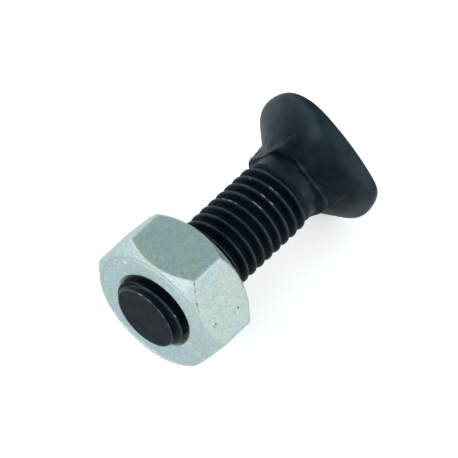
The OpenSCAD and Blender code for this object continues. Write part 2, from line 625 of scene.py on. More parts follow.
@dataclass(frozen=True)
class BlackOxide:
    """Oiled black oxide on forged steel: near black with a blue-green cast, and worn lighter on the crests.

    Attributes:
        deep, pale: colours between which the oxide is mottled.
        painted_shade: painted shade where the marks are negative, most in the grooves, under the head, on the
            neck and
        on the tip; the darkest marks take painted_shade_share of it.
        worn, painted_glint_colour: metal on rubbed places and in the glints.
        sheen: tint of the gloss.
        worn, painted_glint_colour: metal on the worn crests and in painted highlight lines, and the painted
            glints.
        lightened: clouds that break up the wear and the painted highlights, down to the share
            least_lightened.
        patches: clouds that multiply the gloss by between the two values of patch_gloss.
        painted_glint_marks: marks between which the painted glints come in.
        mark_gloss: gloss at the marks -1 and 0.
        mottle_relief, grain_relief: height in millimetres and strength of the two fine reliefs.
    """

    name: str = "black_oxide"
    deep: tuple = (0.0015, 0.004, 0.006)
    pale: tuple = (0.0085, 0.0150, 0.0195)
    painted_shade: tuple = (0.0005, 0.0025, 0.0075)
    painted_shade_share: float = 0.7
    worn: tuple = (0.12, 0.125, 0.13)
    worn_metal: float = 0.8
    painted_glint_colour: tuple = (0.30, 0.33, 0.34)
    sheen: tuple = (0.60, 0.85, 1.0)
    straw: tuple = (0.10, 0.11, 0.05)
    rust: tuple = (0.023, 0.016, 0.015)
    mottle: Clouds = Clouds(0.55, 4, (0.35, 0.68))
    grain: Clouds = Clouds(7.0, 3, (0.3, 0.7))
    lightened: Clouds = Clouds(0.9, 3, (0.38, 0.62))
    least_lightened: float = 0.2
    patches: Clouds = Clouds(0.45, 3, (0.35, 0.65))
    patch_gloss: tuple = (0.82, 1.2)
    mark_gloss: tuple = (0.01, 0.40)
    painted_glint_marks: tuple = (0.2, 0.6)
    roughness: tuple = (0.36, 0.52)
    mottle_relief: tuple = (0.10, 0.5)
    grain_relief: tuple = (0.02, 0.45)
    # Painted highlights: glints at listed places on the crests and round the edge of the tip.
    painted_glints: tuple = (Speck(4.92, 210, 15.1, 0.45), Speck(4.92, 198, 15.1, 0.5), Speck(4.92, 188, 15.0, 0.4),
                     Speck(4.92, 168, 13.7, 0.4), Speck(4.92, 159, 13.5, 0.5), Speck(4.92, 168, 10.6, 0.4),
                     Speck(4.92, 158, 10.4, 0.4), Speck(4.92, 168, 12.3, 0.45), Speck(4.92, 152, 12.2, 0.35),
                     Speck(4.3, 191, 32.5, 0.5), Speck(4.3, 172, 32.5, 0.5), Speck(4.3, 148, 32.5, 0.4),
                     Speck(4.3, 138, 32.5, 0.4), Speck(4.3, 118, 32.5, 0.35), Speck(4.9, 128, 31.7, 0.3),
                     Speck(4.9, 175, 31.0, 0.5), Speck(4.9, 100, 31.8, 0.25))
    straw_specks: tuple = (Speck(4.9, 200, 11.8, 0.5), Speck(4.7, 206, 10.9, 0.3))
    rust_specks: tuple = (Speck(4.95, 125, 6.0, 0.3), Speck(4.95, 118, 5.9, 0.25), Speck(4.9, 138, 6.1, 0.25))

    def material(self, lie: Lie) -> bpy.types.Material:
        """Builds the material.

        Args:
            lie: where the fastener lies, for the places of the specks.

        Returns:
            A material whose colour and relief are mottled. The marks bare its crests, paint highlights on
            some edges, and paint shade into its grooves and other places by darkening them and taking their
            gloss.
        """
        board = NodeBoard(self.name)
        mottle, grain, marks = board.noise(self.mottle), board.noise(self.grain), board.marks()
        oxide = board.ramp(mottle, self.mottle.span, ((0.0, self.deep), (1.0, self.pale)))
        metal = board.ramp(grain, self.grain.span, ((0.0, self.pale), (1.0, self.worn)))
        uneven = board.spread(board.noise(self.lightened), self.lightened.span, (self.least_lightened, 1))
        # Crest wear and painted highlights: positive marks mix in the worn metal.
        wear_and_light = board.join("MULTIPLY", board.spread(marks, (0, 1), NONE_TO_ALL), uneven)
        # Painted highlights: glints where the marks are high near the listed places.
        lightened_place = board.spread(marks, self.painted_glint_marks, NONE_TO_ALL)
        painted_glint = board.join("MULTIPLY", lightened_place, board.specks(lie, self.painted_glints))
        # Painted shade: negative marks mix a darker colour into the oxide.
        oxide = board.mix(board.spread(marks, (0, -1), (0, self.painted_shade_share)), oxide, self.painted_shade)
        colour = board.mix(painted_glint, board.mix(wear_and_light, oxide, metal), self.painted_glint_colour)
        colour = board.mix(board.specks(lie, self.straw_specks), colour, self.straw)
        board.set("Base Color", board.mix(board.specks(lie, self.rust_specks), colour, self.rust))
        board.set("Roughness", board.spread(grain, self.grain.span, self.roughness))
        board.set("Metallic", board.spread(board.join("MAXIMUM", wear_and_light, painted_glint), (0, 1), (0, self.worn_metal)))
        patchy = board.spread(board.noise(self.patches), self.patches.span, self.patch_gloss)
        # Painted shade also takes gloss: negative marks lower the specular level.
        gloss = board.spread(marks, (-1, 0), self.mark_gloss)
        board.set("Specular IOR Level", board.join("MULTIPLY", patchy, gloss))
        board.set("Specular Tint", (*self.sheen, 1))
        board.set("Normal", board.bump(mottle, self.mottle_relief, board.bump(grain, self.grain_relief)))
        return board.material


@dataclass(frozen=True)
class ZincPlate:
    """Pale zinc on a cold-formed nut: satin grey-green metal with a fine grain and a faint play of tints.

    Attributes:
        dull, clean: colours between which the plating is mottled.
        bruise, cream: colour of scuffs, dark specks and the ring's painted shade, and of painted highlights.
        painted_reflection_tint: painted reflection, a cooler tint that the colour of the outer face is
            multiplied by.
        tints: what slow clouds multiply the colour by, from one end of their span to the other.
        freckles: the same for small ones.
        scuffed: clouds that break up a scuff, down to the share least_scuffed.
        scuff_marks: marks between which a scuff and the ring's painted shade come in.
        mottle_relief, grain_relief: height in millimetres and strength of the two fine reliefs.
    """

    name: str = "pale_zinc"
    dull: tuple = (0.45, 0.575, 0.57)
    clean: tuple = (0.57, 0.68, 0.66)
    bruise_and_shade: tuple = (0.13, 0.16, 0.16)
    painted_highlight_colour: tuple = (0.78, 0.80, 0.70)
    painted_reflection_tint: tuple = (0.97, 1.0, 1.05)
    tints: tuple = ((0.0, (0.95, 1.0, 0.97)), (0.35, (1.04, 1.0, 0.92)), (0.65, (1.05, 0.95, 1.0)),
                    (1.0, (0.95, 1.0, 1.01)))
    freckles: tuple = ((0.0, (0.84, 0.84, 0.84)), (1.0, (1.11, 1.11, 1.09)))
    mottle: Clouds = Clouds(1.6, 4, (0.32, 0.68), 0.65)
    grain: Clouds = Clouds(9.0, 3, (0.3, 0.7))
    slow: Clouds = Clouds(0.22, 2, (0.36, 0.64))
    small: Clouds = Clouds(4.5, 2, (0.3, 0.7))
    scuffed: Clouds = Clouds(2.2, 2, (0.42, 0.56))
    least_scuffed: float = 0.15
    scuff_marks: tuple = (0.1, 0.7)
    roughness: tuple = (0.38, 0.50)
    metal: float = 0.85
    mottle_relief: tuple = (0.05, 0.4)
    grain_relief: tuple = (0.02, 0.6)
    dark_specks: tuple = (Speck(8.76, 106, 25.4, 0.22), Speck(8.67, 109, 29.2, 0.21),
                          Speck(8.6, 108, 29.5, 0.18))
    # Painted highlights: bright specks at listed places on the outer face and in the mouth.
    painted_highlight_specks: tuple = (Speck(7.97, 18, 31.1, 0.22), Speck(6.9, 26, 31.1, 0.2),
                            Speck(7.3, 32, 31.1, 0.28), Speck(7.05, 46, 31.1, 0.2),
                            Speck(7.3, 217, 31.1, 0.4), Speck(5.5, 60, 30.8, 0.45),
                            Speck(5.75, 74, 31.0, 0.35))

    def material(self, lie: Lie) -> bpy.types.Material:
        """Builds the material.

        Args:
            lie: where the fastener lies, for the places of the specks.

        Returns:
            A material in which mottling, freckles and slow clouds of rose, straw and green make the colour.
            The marks tint the outer face cooler as a painted reflection, scuff it, and paint shade into its
            ring.
        """
        board = NodeBoard(self.name)
        mottle, grain, marks = board.noise(self.mottle), board.noise(self.grain), board.marks()
        colour = board.ramp(mottle, self.mottle.span, ((0.0, self.dull), (1.0, self.clean)))
        tint = board.ramp(board.noise(self.slow), self.slow.span, self.tints)
        freckle = board.ramp(board.noise(self.small), self.small.span, self.freckles)
        colour = board.mix(1.0, board.mix(1.0, colour, tint, "MULTIPLY"), freckle, "MULTIPLY")
        # Painted highlights: the bright specks.
        colour = board.mix(board.specks(lie, self.painted_highlight_specks), colour, self.painted_highlight_colour)
        # Painted reflection: negative marks tint the outer face cooler.
        colour = board.mix(board.spread(marks, (0, -1), NONE_TO_ALL), colour, self.painted_reflection_tint, "MULTIPLY")
        broken = board.spread(board.noise(self.scuffed), self.scuffed.span, (self.least_scuffed, 1))
        # Scuffs, and the painted shade in the ring, from the marks.
        scuff = board.join("MULTIPLY", board.spread(marks, self.scuff_marks, NONE_TO_ALL), broken)
        dark = board.join("MAXIMUM", scuff, board.specks(lie, self.dark_specks))
        board.set("Base Color", board.mix(dark, colour, self.bruise_and_shade))
        board.set("Roughness", board.spread(grain, self.grain.span, self.roughness))
        board.set("Metallic", self.metal)
        board.set("Normal", board.bump(mottle, self.mottle_relief, board.bump(grain, self.grain_relief)))
        return board.material


@dataclass(frozen=True)
class WearAndPaintedLight:
    """The marks on the bolt's mesh: positive where it is worn and where highlights are painted, negative
    where it is darker and duller, which is painted shade in the grooves, under the head, on the neck and
    on the tip.

    Ranges of depth go from 0 on a crest to 1 in a groove. A pair of a place and a width belongs to a hump.

    Attributes:
        crest: on the crests of the thread.
        shoulder, shoulder_depths: what comes off beside the crest, and where.
        groove, groove_depths: what comes off further down, as painted shade in the grooves, and where.
        shank: on the plain shank and before the thread is full.
        shank_past: distances past the neck's end over which the shank's own value comes in.
        neck: painted shade on the neck.
        neck_rise: heights of the neck over head and shank between which its own value comes in.
        cone, cone_z: painted shade under the head, darker towards the neck, and where it comes in.
        cone_left, cone_left_degrees: share of that painted shade missing on the head's left, and where.
        spot, painted_edge_highlight_degrees, painted_edge_highlight_z: a painted highlight where the round
        part meets a flattened side.
        painted_end_highlight, end_line_width, end_line_degrees: painted highlight on the neck's end, and
        where it fades.
        corner, corner_degrees, corner_past: the painted shadow past the neck's upper corner.
        chamfer: painted shade on the chamfer of the tip.
            ridge_highlight, ridge_highlight_width: a painted highlight added where the chamfer cuts the
                ridges.
        tip_highlight: distances before the tip over which the painted highlight on its edge comes in.
        tip_rim_highlight, tip_face_shade: painted highlight on the outer edge and painted shade on the rest
            of the tip.
    """

    crest: float = 0.6
    shoulder: float = 0.8
    shoulder_depths: tuple = (0, 0.1)
    groove: float = 0.68
    groove_depths: tuple = (0.05, 0.3)
    shank: float = -0.3
    shank_past: tuple = (0.3, 0.6)
    neck: float = -0.66
    neck_rise: tuple = (-0.05, 0.2)
    cone: float = -0.65
    cone_z: tuple = (0.9, 3.6)
    cone_left: float = 0.7
    cone_left_degrees: tuple = (195, 225)
    painted_edge_highlight: float = 0.55
    painted_edge_highlight_degrees: tuple = (173, 7)
    painted_edge_highlight_z: tuple = (2.4, 1)
    painted_end_highlight: float = 0.9
    end_line_width: float = 0.11
    end_line_degrees: tuple = (145, 182)
    corner: float = -0.5
    corner_degrees: tuple = (202, 13)
    corner_past: tuple = (0.35, 0.2)
    chamfer: float = -0.95
    ridge_highlight: float = 1.6
    ridge_highlight_width: float = 0.05
    tip_highlight: tuple = (0.2, 0.05)
    tip_rim_highlight: float = 0.6
    tip_face_shade: float = -0.8


@dataclass
class BoltBody:
    """The forged bolt: flat countersunk head, short square neck, reduced shank and rolled thread.

    Attributes:
        half_narrow, side_bow, side_turn: the flattened sides' half distance, the radius of their bow and
            the angle of the middle of one of them.
        side_draft: how much they draw in for each millimetre of z.
        bulge, hollow: angle, width in degrees and height of the rim's two uneven places.
        uneven_fade: z over which they even out.
        corner_taper: growth of the neck's corners for each millimetre nearer to the head.
        neck_turn: turn of the neck's corners away from straight down, in degrees.
        run_corner, corner_run: angle, before that turn, of the corner that runs further down the shank,
            and how far it runs.
        plain_end: z at which the thread's own sheet starts.
        even_end: length before it on which the shank is exactly round.
        runout: z over which the thread grows out of the shank.
        waves: lumps round the axis, their turn in radians for each millimetre of z, and their start.
        forging, waves_rise, waves_fall: their height, and z over which they come in and fade.
        side_blend, corner_blend, shank_blend, neck_blend, tip_blend: how softly the sides meet the round
            head, the neck's flats their corners, the shank the neck, both the head, and the tip's chamfer
            the thread.
        tip_shares: radii of two rings inside the edge of the tip, as shares of the edge's own.
    """

    lie: Lie
    finish: BlackOxide
    helix: Helix
    wear_and_light: WearAndPaintedLight = WearAndPaintedLight()
    head_r: float = 9.15
    half_narrow: float = 7.6
    side_bow: float = 24.0
    side_turn: float = 141.5
    side_draft: float = 0.12
    side_blend: float = 0.6
    bulge: tuple = (206.0, 19.0, 0.58)
    hollow: tuple = (71.0, 15.0, 0.22)
    uneven_fade: tuple = (1.0, 4.0)
    rim_h: float = 0.4
    face_round: float = 0.3
    under_round: float = 1.0
    half_cone: float = 45.0
    neck_af: float = 9.7
    corner_r: float = 5.9
    corner_blend: float = 0.10
    neck_end: float = 5.85
    corner_taper: float = 0.3
    neck_slope: float = 0.4
    neck_turn: float = 8.0
    neck_blend: float = 0.2
    run_corner: float = 270.0
    corner_run: float = 0.9
    shank_r: float = 4.6
    shank_blend: float = 0.06
    plain_end: float = 7.2
    even_end: float = 0.1
    runout: tuple = (7.2, 9.3)
    length: float = 32.5
    tip_r: float = 4.3
    tip_blend: float = 0.08
    tip_shares: tuple = (0.98, 0.96)
    forging: float = 0.035
    waves: tuple = ((7, 3.1, 0), (11, -4.3, 1))
    waves_rise: tuple = (3.2, 4.5)
    waves_fall: float = 6.5
    columns: int = 240
    face_lines: int = 14
    edge_lines: int = 8
    under_lines: int = 9
    cone_lines: int = 90
    tip_lines: int = 11

    def theta(self) -> Array:
        """The angles that all sheets share."""
        return np.arange(self.columns) * FULL_TURN / self.columns

    def head_profile(self) -> tuple[Array, Array]:
        """How far the head draws in from its rim, and z, from the edge of the face to the plain shank.

        Formula: a quarter turn of the face's rounding, the rim, an arc of the under rounding until it leans
        as the cone does, then the slope of the cone.

        Returns:
            Insets and z of the grid's lines.
        """
        turn = np.radians(np.linspace(-90, 0, self.edge_lines))
        under = np.radians(np.linspace(0, self.half_cone, self.under_lines))
        arc_in = self.face_round * (1 - np.cos(turn))
        arc_z = self.face_round * (1 + np.sin(turn))
        under_in = self.under_round * (1 - np.cos(under))
        under_z = self.rim_h + self.under_round * np.sin(under)
        cone_z = np.linspace(under_z[-1], self.plain_end, self.cone_lines)[1:]
        cone_in = under_in[-1] + (cone_z - under_z[-1]) * math.tan(math.radians(self.half_cone))
        return np.concatenate([arc_in, under_in, cone_in]), np.concatenate([arc_z, under_z, cone_z])

    def head_radius(self, theta: Array, inset: Array, z: Array) -> Array:
        """Radius of the round head, whose two sides are cut straight down to the cone.

        Formula: the round radius, or a side where that is smaller, with the edge between them rounded. A
        side is an arc of the bow's radius R whose middle is half the narrow width w from the axis, so at the
        angle a from that middle it is sqrt(R² - c² sin²(a)) - c |cos(a)|, with c = R - w. It shares the
        rounding of the face's edge and draws in a little with z. The forged rim bulges at one angle and is
        hollow at another, each as a hump over the angle, and evens out down the cone.

        Args:
            theta: angles from straight down.
            inset: how far the round part draws in from its rim, row by row.
            z: distances from the face of the head, row by row.

        Returns:
            Radii over the grid.
        """
        turned = theta - math.radians(self.side_turn)
        drawn_in = np.where(z < self.face_round, inset, (z - self.face_round) * self.side_draft)
        centre = self.side_bow - self.half_narrow
        side = np.sqrt(self.side_bow ** 2 - (centre * np.sin(turned)) ** 2) - centre * np.abs(np.cos(turned))
        uneven = sum(sign * height * hump(np.degrees(theta), angle, width)
                     for sign, (angle, width, height) in ((1, self.bulge), (-1, self.hollow)))
        round_r = self.head_r + uneven * (1 - ease(*self.uneven_fade, z)) - inset
        return soft_min(*np.broadcast_arrays(side - drawn_in, round_r), self.side_blend)

    def past_neck(self, theta: Array, z: Array) -> Array:
        """Distance past the neck's end, which runs further down the shank at one corner.

        Formula: z - end - run max(cos(angle from that corner), 0)².
        """
        from_corner = theta - math.radians(self.run_corner + self.neck_turn)
        return z - self.neck_end - self.corner_run * np.maximum(np.cos(from_corner), 0) ** 2

    def neck_radius(self, theta: Array, z: Array) -> Array:
        """Radius of the square neck, with its corners cut by a cone that slopes down at the neck's end.

        Formula: half the flats over the larger of |cos| and |sin| of the angle from a flat, or the corner
        cone where that is smaller.

        Args:
            theta: angles from straight down.
            z: distances from the face of the head.

        Returns:
            Radii over the same grid.
        """
        turned = theta - math.radians(45 + self.neck_turn)
        square = self.neck_af / 2 / np.maximum(np.abs(np.cos(turned)), np.abs(np.sin(turned)))
        past_end = self.past_neck(theta, z)
        fall = (self.corner_r - self.shank_r) / self.neck_slope
        corner = self.corner_r - np.where(past_end < 0, self.corner_taper, fall) * past_end
        return soft_min(*np.broadcast_arrays(square, corner), self.corner_blend)

    def thread_radius(self, z: Array, theta: Array) -> tuple[Array, Array]:
        """Radius of the threaded length, and its marks of wear and painted light.

        Formula: ridge less (ridge - foot) times the depth of the helix. Ridge and foot part from the
        shank's radius over the run-out, and the chamfer of the tip cuts the ridges down. The marks fall from
        the worn crest to painted shade in the groove, and rise to painted highlights on the edges where the
        chamfer starts and where it ends. The chamfer between them takes painted shade.

        Args:
            z: distances from the face of the head.
            theta: angles from straight down.

        Returns:
            Radii and marks.
        """
        wear_and_light = self.wear_and_light
        grown = ease(*self.runout, z)
        ridge = self.shank_r + (self.helix.high - self.shank_r) * grown
        foot = self.shank_r + (self.helix.low - self.shank_r) * grown
        depth = self.helix.depth(z, theta)
        radius = ridge - (ridge - foot) * depth
        chamfer = self.tip_r + (self.length - z)
        # Painted highlight lines where the chamfer cuts the ridges and along the edge of the tip.
        tip_highlight = [self.length - before for before in wear_and_light.tip_highlight]
        edge = hump(radius - chamfer, 0, wear_and_light.ridge_highlight_width) + ease(*tip_highlight, z)
        lost_beside = wear_and_light.shoulder * ease(*wear_and_light.shoulder_depths, depth)
        # Painted shade in the grooves: the marks fall below the crest.
        lost_below = wear_and_light.groove * ease(*wear_and_light.groove_depths, depth)
        thread = grown * (wear_and_light.crest - lost_beside - lost_below) + wear_and_light.shank * (1 - grown)
        # Painted shade on the chamfer, with the painted highlight lines on its edges.
        mark = np.where(chamfer > self.helix.high, thread, wear_and_light.ridge_highlight * edge + wear_and_light.chamfer)
        return soft_min(radius, chamfer, self.tip_blend), mark

    def unevenness(self, theta: Array, z: Array) -> Array:
        """Height of the low waves that forging left on the neck and the plain shank.

        Formula: height times the sum of sin(n theta + k z + start) over both waves, faded out in the head's
        cone and before the thread.

        Args:
            theta: angles from straight down.
            z: distances from the face of the head.

        Returns:
            Heights over the grid.
        """
        waves = sum(np.sin(lumps * theta + per_mm * z + start) for lumps, per_mm, start in self.waves)
        fall = (self.waves_fall, self.plain_end - self.even_end)
        return self.forging * waves * between(self.waves_rise, fall, z)

    def marks(self, theta: Array, z: Array, neck_height: Array) -> Array:
        """Marks of the head, the neck and the plain shank.

        Formula: painted shade under the head grows from its rim towards the neck, less so on its left, and a
        painted highlight lies where the round part meets a flattened side. Neck and shank have their own even
        values, painted shade on the neck. A painted highlight runs along the right of the neck's end, and a
        painted shadow lies past the upper corner.

        Args:
            theta: angles from straight down.
            z: distances from the face of the head.
            neck_height: how far the neck stands out of head and shank.

        Returns:
            Marks over the grid.
        """
        wear_and_light = self.wear_and_light
        degrees = np.degrees(theta)
        past = self.past_neck(theta, z)
        # Painted shade under the head, darker towards the neck and lighter on its left.
        left = ease(*wear_and_light.cone_left_degrees, degrees)
        head = wear_and_light.cone * ease(*wear_and_light.cone_z, z) * (1 - wear_and_light.cone_left * left)
        # Painted highlight where the round part of the head meets a flattened side.
        head = head + wear_and_light.painted_edge_highlight * hump(degrees, *wear_and_light.painted_edge_highlight_degrees) * hump(z, *wear_and_light.painted_edge_highlight_z)
        plain = head + (wear_and_light.shank - head) * ease(*wear_and_light.shank_past, past)
        # Painted shade on the neck, where the head's cone shades it.
        plain = plain + (wear_and_light.neck - plain) * ease(*wear_and_light.neck_rise, neck_height)
        # Painted highlight along the neck's end, fading out on its upper part.
        right = 1 - ease(*wear_and_light.end_line_degrees, degrees)
        lightened = wear_and_light.painted_end_highlight * right * hump(past, 0, wear_and_light.end_line_width)
        # Painted shadow past the neck's upper corner.
        shade = wear_and_light.corner * hump(degrees, *wear_and_light.corner_degrees) * hump(past, *wear_and_light.corner_past)
        return plain + lightened + shade

    def build(self) -> bpy.types.Object:
        """Builds the bolt as one closed mesh: the face, head with neck and shank, the thread and the tip.

        Returns:
            The bolt's object.
        """
        skin = Skin(self.lie, self.theta())
        theta = skin.theta[None, :]
        inset, z = (line[:, None] for line in self.head_profile())
        head = self.head_radius(theta, inset, z)
        skin.add_rings(head[:1] * np.linspace(0, 1, self.face_lines)[:, None], np.zeros((self.face_lines, 1)))
        neck = self.neck_radius(theta, z)
        stem = soft_max(neck, np.full_like(head, self.shank_r), self.shank_blend)
        radius = np.where(z > self.rim_h + self.under_round, soft_max(head, stem, self.neck_blend), head)
        radius = radius + self.unevenness(theta, z)
        radius = np.where(z > self.plain_end - self.even_end, self.shank_r, radius)
        skin.add_rings(radius, z, self.marks(theta, z, neck - np.maximum(head, self.shank_r)))
        skin.add_thread(self.helix, self.plain_end, self.length, self.thread_radius)
        end, _ = self.thread_radius(np.full_like(theta, self.length), theta)
        rim, inside = self.tip_shares
        shares = np.concatenate([[1, rim], np.linspace(inside, 0, self.tip_lines)])[:, None]
        # Painted highlight on the tip's outer edge, painted shade on the rest of its face.
        mark = np.where(shares < rim, self.wear_and_light.tip_face_shade, self.wear_and_light.tip_rim_highlight)
        skin.add_rings(end * shares, np.full_like(shares, self.length), mark)
        return skin.close("forged_bolt")

    def dress(self, piece: bpy.types.Object) -> None:
        """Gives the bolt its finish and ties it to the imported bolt.

        Args:
            piece: the bolt's object.
        """
        piece.data.materials.append(self.finish.material(self.lie))
        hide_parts("bolt")
        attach(piece, "bolt")


@dataclass
class HexNut:
    """The hexagon nut: six flats, both faces chamfered, and a tapped bore with countersunk mouths.

    Attributes:
        inner_z: z of the face nearer to the head.
        face_r, chamfer: radius of the faces, and angle of the chamfers from them.
        face_tilt, tilt_angle: how far the outer face leans out at its edge, and the angle there.
        mouth_r, mouth_extra, mouth_angle: radius of the bore's mouths, what they are wider on one side, and
            the angle of that side.
        arris_round: radius of the rounding between two flats.
        ring_r, ring_half, ring_depth, ring_shade_mark: the shallow ring pressed into the outer face, and the
        painted shade in it.
        face_depths, face_edge: what counts as the outer face, in distances before it and past the ring.
        scuff_rise, scuff_fall: angles over which the scuff on the chamfer's edge comes in and ends.
        line_width: width of the scuff and of the ring's painted shade.
        setbacks, spans: roundings of the section's corners, and lines on the stretches between them.
    """

    lie: Lie
    finish: ZincPlate
    helix: Helix
    flats: float = 17.0
    inner_z: float = 23.2
    height: float = 7.9
    face_r: float = 8.3
    chamfer: float = 46.0
    face_tilt: float = 0.30
    tilt_angle: float = 310.0
    mouth_r: float = 5.35
    mouth_extra: float = 1.1
    mouth_angle: float = 145.0
    sink_angle: float = 45.0
    arris_round: float = 0.65
    ring_r: float = 7.85
    ring_half: float = 0.14
    ring_depth: float = 0.12
    ring_shade_mark: float = 0.9
    face_depths: tuple = (0.6, 0.4)
    face_edge: float = 0.2
    scuff_rise: tuple = (124.0, 132.0)
    scuff_fall: tuple = (148.5, 150.5)
    line_width: float = 0.09
    setbacks: tuple = (0.3, 0.2, 0.2, 0.2, 0.05, 0.05, 0.05)
    spans: tuple = (8, 4, 14, 4, 1, 1, 1, 8)
    flat_lines: int = 21
    arris_lines: int = 8

    def theta(self) -> Array:
        """Angles of the whole hexagon, with lines on the flats and close together round each arris.

        Returns:
            The angles, from the first edge of the lowest flat.
        """
        half = self.flat_end()
        flat = np.linspace(-half, half, self.flat_lines)
        arris = np.linspace(half, math.radians(60) - half, self.arris_lines)[1:-1]
        sector = np.concatenate([flat, arris])
        return (sector[None, :] + np.radians(60 * np.arange(6))[:, None]).ravel()

    def flat_end(self) -> float:
        """Angle from the middle of a flat to where the rounding of the arris starts."""
        half = self.flats / 2
        return math.atan((half - self.arris_round) * math.tan(math.radians(30)) / half)

    def outline(self, theta: Array) -> Array:
        """Radius of the hexagon with rounded arrises.

        Formula: half the flats over cos(phi) on a flat, and c cos(a) + sqrt(round² - c² sin²(a)) round an
        arris, where phi and a are the angles from the middle of the flat and from the arris, and c is the
        distance of the rounding's centre.

        Args:
            theta: angles from straight down.

        Returns:
            Radii at those angles.
        """
        sector = math.radians(60)
        phi = np.abs((theta + sector / 2) % sector - sector / 2)
        centre = (self.flats / 2 - self.arris_round) / math.cos(sector / 2)
        away = centre * np.sin(sector / 2 - phi)
        bulge = np.sqrt(np.maximum(self.arris_round ** 2 - away ** 2, 0))
        rounded = centre * np.cos(sector / 2 - phi) + bulge
        return np.where(phi <= self.flat_end() + 1e-9, self.flats / 2 / np.cos(phi), rounded)

    def mouth_radius(self, theta: Array) -> Array:
        """Radius of the countersink's mouth, which is wider on one side.

        Formula: radius + extra max(cos(angle from the wide side), 0)².
        """
        from_wide = theta - math.radians(self.mouth_angle)
        return self.mouth_r + self.mouth_extra * np.maximum(np.cos(from_wide), 0) ** 2

    def bore_radius(self, z: Array, theta: Array) -> tuple[Array, Array]:
        """Radius of the tapped bore, opened by a countersink at both mouths.

        Formula: the groove's radius less its depth times the helix, or the countersink where that is wider.

        Args:
            z: distances from the face of the head.
            theta: angles from straight down.

        Returns:
            Radii, and marks that are 0.
        """
        tapped = self.helix.high - (self.helix.high - self.helix.low) * self.helix.depth(z, theta)
        middle = self.inner_z + self.height / 2
        from_mouth = self.height / 2 - np.abs(z - middle)
        sink = self.mouth_radius(theta) - from_mouth * math.tan(math.radians(self.sink_angle))
        return np.maximum(tapped, sink), np.zeros_like(z)

    def build(self) -> bpy.types.Object:
        """Builds the nut as one closed mesh: its section carried round the axis, and the tapped bore.

        Returns:
            The nut's object.
        """
        skin = Skin(self.lie, self.theta())
        side = self.outline(skin.theta)
        drop = (side - self.face_r) * math.tan(math.radians(self.chamfer))
        outer_z = self.inner_z + self.height
        tilted_z = outer_z + self.face_tilt * np.cos(skin.theta - math.radians(self.tilt_angle))
        corners = [(self.mouth_radius(skin.theta), self.inner_z), (self.face_r, self.inner_z),
                   (side, self.inner_z + drop), (side, tilted_z - drop), (self.face_r, tilted_z),
                   (self.ring_r + self.ring_half, tilted_z), (self.ring_r, tilted_z - self.ring_depth),
                   (self.ring_r - self.ring_half, tilted_z), (self.mouth_radius(skin.theta), outer_z)]
        section = [np.broadcast_arrays(r, z, side)[:2] for r, z in corners]
        radius, z = rounded_path(section, self.setbacks, self.spans)
        scuff = between(self.scuff_rise, self.scuff_fall, np.degrees(skin.theta))
        scuff = scuff * hump(z - tilted_z + drop, 0, self.line_width)
        # Painted reflection: the outer face takes negative marks, which tint it cooler.
        near_face = [outer_z - depth for depth in self.face_depths]
        on_face = ease(*near_face, z) * (1 - ease(self.ring_r, self.ring_r + self.face_edge, radius))
        # Painted shade: a dark line of marks along the ring in the outer face.
        outer_half = z > self.inner_z + self.height / 2
        ring = self.ring_shade_mark * hump(radius, self.ring_r, self.line_width) * outer_half
        skin.add_rings(radius, z, scuff - on_face + ring)
        skin.add_thread(self.helix, self.inner_z, outer_z, self.bore_radius)
        return skin.close("plated_nut")

    def dress(self, piece: bpy.types.Object) -> None:
        """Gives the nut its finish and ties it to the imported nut.

        Args:
            piece: the nut's object.
        """
        piece.data.materials.append(self.finish.material(self.lie))
        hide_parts("nut")
        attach(piece, "nut")


@dataclass(frozen=True)
class Flag:
    """A dark cloth or a bright board in the light tent.

    Attributes:
        toward: direction of its middle, in the row's frame.
        inner: angle from its middle within which it acts fully, in degrees.
        outer: angle past which it does nothing.
        tint: what the tent's colour is multiplied by.
    """

    toward: tuple
    inner: float
    outer: float
    tint: tuple


@dataclass(frozen=True)
class Lamp:
    """A soft square lamp that looks at the fastener.

    Attributes:
        name: its name.
        place: its middle, in metres of the row's frame.
        size: length of its sides, in metres.
        power: its power, in watts.
    """

    name: str
    place: tuple
    size: float
    power: float

    def hang(self) -> None:
        """Puts the lamp into the scene."""
        data = bpy.data.lights.new(self.name, "AREA")
        data.shape = "SQUARE"
        data.size = self.size
        data.energy = self.power
        lamp = bpy.data.objects.new(self.name, data)
        lamp.location = self.place
        lamp.rotation_euler = (-Vector(self.place)).to_track_quat("-Z", "Y").to_euler()
        bpy.context.scene.collection.objects.link(lamp)


